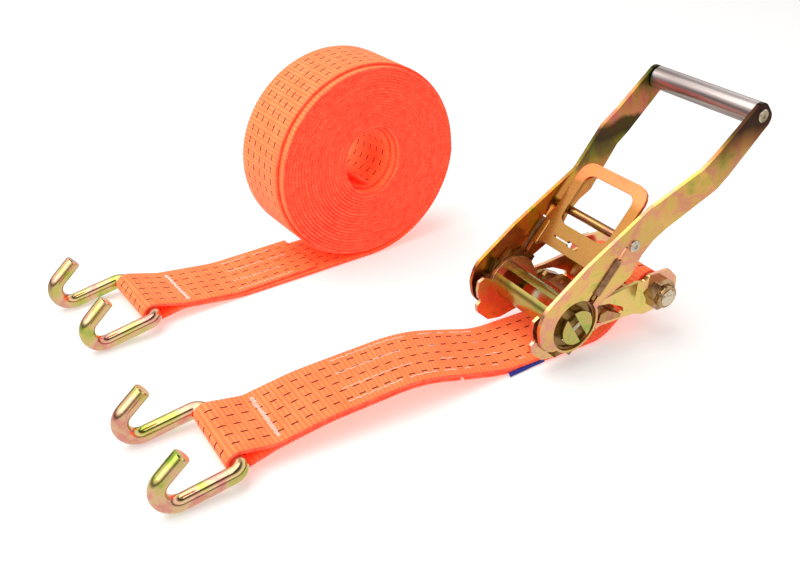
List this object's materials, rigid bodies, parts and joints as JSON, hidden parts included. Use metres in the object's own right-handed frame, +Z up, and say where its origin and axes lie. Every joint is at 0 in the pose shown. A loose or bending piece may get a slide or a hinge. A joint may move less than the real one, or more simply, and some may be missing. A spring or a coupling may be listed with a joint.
{
  "type": "ratchet tie down",
  "caption": "Ratchet buckle with a handle, split mandrel and sprung pawls, on a short webbing strap with a double J hook, beside a long webbing strap with its own hook, rolled up.",
  "frame": {"origin": "on the flat underside of the short strap, straight below the mandrel's axis", "axes": "+X from the mandrel towards the tail bolt, +Y from the nut's side to the bolt head's side, +Z up"},
  "size_m": [0.4127, 0.2564, 0.1564],
  "materials": {
    "zinc_sheet": "pressed steel sheet, yellow zinc plated, iridescent",
    "zinc_solid": "yellow zinc plated steel",
    "zinc_hook": "bent round bar, yellow zinc plated, glossy",
    "fastener_steel": "zinc plated fasteners",
    "grip_steel": "drawn steel tube",
    "spring_steel": "oiled spring wire",
    "webbing": "woven polyester webbing, 50 mm",
    "label": "woven label tab, blank"
  },
  "bodies": {
    "short_strap": {"short_strap": "webbing", "strap_label": "label"},
    "frame": {"frame_side_near": "zinc_sheet", "frame_side_far": "zinc_sheet", "frame_cross_plate": "zinc_sheet", "tail_bolt": "fastener_steel", "tail_nut": "fastener_steel", "tail_sleeve": "fastener_steel", "lock_pawl_spring_near": "spring_steel", "lock_pawl_spring_far": "spring_steel"},
    "mandrel": {"mandrel_bar_upper": "zinc_solid", "mandrel_bar_lower": "zinc_solid", "ratchet_wheel_near": "zinc_solid", "ratchet_wheel_far": "zinc_solid", "hub_collar_near": "zinc_solid", "hub_collar_far": "zinc_solid", "mandrel_pin_near": "zinc_solid", "mandrel_pin_far": "zinc_solid"},
    "handle": {"handle_side_near": "zinc_sheet", "handle_side_far": "zinc_sheet", "grip_rivet": "fastener_steel", "cross_rod": "fastener_steel", "pull_pawl_spring_near": "spring_steel", "pull_pawl_spring_far": "spring_steel"},
    "grip": {"grip_tube": "grip_steel"},
    "pull_pawl": {"pull_pawl": "zinc_sheet"},
    "lock_pawl": {"lock_pawl": "zinc_sheet"},
    "short_hook": {"short_hook": "zinc_hook"},
    "long_strap": {"long_strap_lead": "webbing", "long_strap_coil": "webbing"},
    "long_hook": {"long_hook": "zinc_hook"}
  },
  "joints": [
    {"name": "buckle_swing", "type": "hinge", "parent": "short_strap", "child": "frame", "pos_m": [0.0744, 0, 0.032], "axis": [0, 1, 0], "range_deg": [0, 60]},
    {"name": "handle_swing", "type": "hinge", "parent": "frame", "child": "handle", "pos_m": [0, 0, 0.031], "axis": [0, -1, 0], "range_deg": [-24, 120]},
    {"name": "mandrel_spin", "type": "hinge", "parent": "frame", "child": "mandrel", "pos_m": [0, 0, 0.031], "axis": [0, -1, 0], "range_deg": [-24, 120]},
    {"name": "pull_pawl_slide", "type": "slide", "parent": "handle", "child": "pull_pawl", "axis": [0.6225, 0, 0.7826], "range_m": [0, 0.008], "stiffness_N_per_m": 300, "springref_m": -0.004, "deforming": ["pull_pawl_spring_near", "pull_pawl_spring_far"]},
    {"name": "lock_pawl_slide", "type": "slide", "parent": "frame", "child": "lock_pawl", "axis": [-0.9848, 0, 0.1736], "range_m": [-0.003, 0.0035], "stiffness_N_per_m": 500, "deforming": ["lock_pawl_spring_near", "lock_pawl_spring_far"]},
    {"name": "grip_spin", "type": "hinge", "parent": "handle", "child": "grip", "pos_m": [0.12975, 0, 0.14783], "axis": [0, 1, 0], "continuous": true},
    {"name": "short_hook_swing", "type": "hinge", "parent": "short_strap", "child": "short_hook", "pos_m": [-0.22092, 0.0067, 0.0104], "axis": [0.0227, 0.9997, 0], "range_deg": [0, 150]},
    {"name": "long_strap_lift", "type": "slide", "parent": "short_strap", "child": "long_strap", "axis": [0, 0, 1], "range_m": [0, 0.3]},
    {"name": "long_hook_swing", "type": "hinge", "parent": "long_strap", "child": "long_hook", "pos_m": [-0.21038, 0.172, 0.0104], "axis": [-0.0506, 0.9987, 0], "range_deg": [0, 150]}
  ],
  "couplings": [
    {"joint": "mandrel_spin", "follows": "handle_swing", "ratio": 1}
  ]
}
